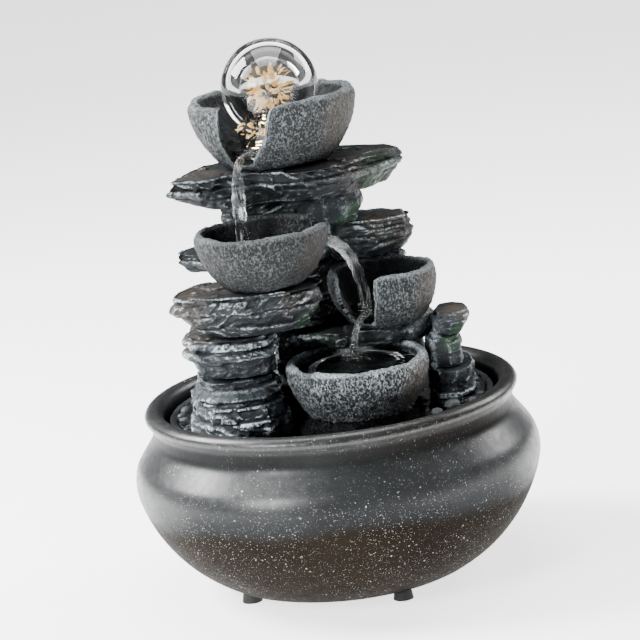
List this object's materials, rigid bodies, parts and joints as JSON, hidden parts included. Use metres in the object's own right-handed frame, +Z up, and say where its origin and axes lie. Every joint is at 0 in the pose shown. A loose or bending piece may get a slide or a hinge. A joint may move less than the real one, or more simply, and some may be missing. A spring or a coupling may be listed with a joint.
{
  "type": "tabletop water fountain",
  "caption": "Tabletop fountain: a speckled round pot, a tower of slate ledges with spill bowls and a spinning glass ball on a water jet, over a small pump.",
  "frame": {"origin": "centre of the ground plane under the pot's feet", "axes": "+Z up, -Y towards the front where the bowls spill, +X to the right seen from the front"},
  "size_m": [0.2104, 0.2104, 0.2795],
  "materials": {
    "pot_glaze": "satin gloss glaze, white speckles, brown below",
    "foot_rubber": "matte",
    "grommet_rubber": "matte",
    "slate_resin": "cast resin, dry-brushed slate strata",
    "bowl_resin": "cast resin, mottled stone",
    "deck_resin": "wet dark resin",
    "pebble_stone": "smooth wet stone",
    "clear_hose": "clear flexible",
    "ball_glass": "polished",
    "clear_plastic": "clear moulded",
    "light_plastic": "moulded",
    "led_resin": "warm white emitter",
    "lead_rubber": "matte",
    "pump_plastic": "moulded",
    "dial_plastic": "moulded",
    "rotor_plastic": "moulded over magnet",
    "shaft_steel": "ground",
    "core_steel": "laminated",
    "coil_copper": "wound",
    "cup_rubber": "matte"
  },
  "bodies": {
    "pot": {"basin_pot": "pot_glaze", "cable_grommet": "grommet_rubber", "pump_housing": "pump_plastic", "stator_core": "core_steel", "stator_coil": "coil_copper", "outlet_nozzle": "pump_plastic", "impeller_shaft": "shaft_steel", "shaft_bush_rear": "dial_plastic", "light_socket": "light_plastic", "foot_back_left": "foot_rubber", "foot_back_right": "foot_rubber", "foot_front_left": "foot_rubber", "foot_front_right": "foot_rubber", "suction_cup_1": "cup_rubber", "suction_cup_2": "cup_rubber", "suction_cup_3": "cup_rubber", "suction_cup_4": "cup_rubber"},
    "tower": {"base_plate": "deck_resin", "light_housing": "light_plastic", "light_lead": "lead_rubber", "light_leds": "led_resin", "light_lens": "clear_plastic", "light_plug": "light_plastic", "lower_bowl": "bowl_resin", "pebbles_left": "pebble_stone", "pebbles_rear": "pebble_stone", "pebbles_right": "pebble_stone", "right_bowl": "bowl_resin", "riser_hose": "clear_hose", "rock_back_shelf": "slate_resin", "rock_core_lower": "slate_resin", "rock_core_middle": "slate_resin", "rock_left_base": "slate_resin", "rock_left_ledge": "slate_resin", "rock_left_step": "slate_resin", "rock_mid_shelf": "slate_resin", "rock_right_base": "slate_resin", "rock_right_neck": "slate_resin", "rock_right_shelf": "slate_resin", "rock_right_step": "slate_resin", "rock_top_ledge": "slate_resin", "rock_upper_neck": "slate_resin", "rock_upper_right": "slate_resin", "top_bowl": "bowl_resin", "tower_leg_back_left": "deck_resin", "tower_leg_back_right": "deck_resin", "tower_leg_front_left": "deck_resin", "tower_leg_front_right": "deck_resin", "upper_left_bowl": "bowl_resin"},
    "ball_seat": {"ball_seat": "clear_plastic"},
    "ball": {"glass_ball": "ball_glass"},
    "impeller": {"impeller": "rotor_plastic"},
    "pump_cover": {"pump_front_cover": "pump_plastic"},
    "flow_dial": {"flow_dial": "dial_plastic"}
  },
  "joints": [
    {"name": "tower_lift", "type": "slide", "parent": "pot", "child": "tower", "axis": [0, 0, 1], "range_m": [0, 0.12]},
    {"name": "ball_seat_lift", "type": "slide", "parent": "tower", "child": "ball_seat", "axis": [0, 0, 1], "range_m": [0, 0.045]},
    {"name": "ball_spin", "type": "hinge", "parent": "ball_seat", "child": "ball", "pos_m": [-0.013, 0.022, 0.2545], "axis": [0, 0, 1], "continuous": true},
    {"name": "impeller_spin", "type": "hinge", "parent": "pot", "child": "impeller", "pos_m": [-0.013, 0, 0.027], "axis": [0, 1, 0], "continuous": true},
    {"name": "pump_cover_pull", "type": "slide", "parent": "pot", "child": "pump_cover", "axis": [0, -1, 0], "range_m": [0, 0.008]},
    {"name": "flow_dial_turn", "type": "hinge", "parent": "pump_cover", "child": "flow_dial", "pos_m": [-0.001, -0.023, 0.019], "axis": [0, 1, 0], "range_deg": [0, 90]}
  ]
}
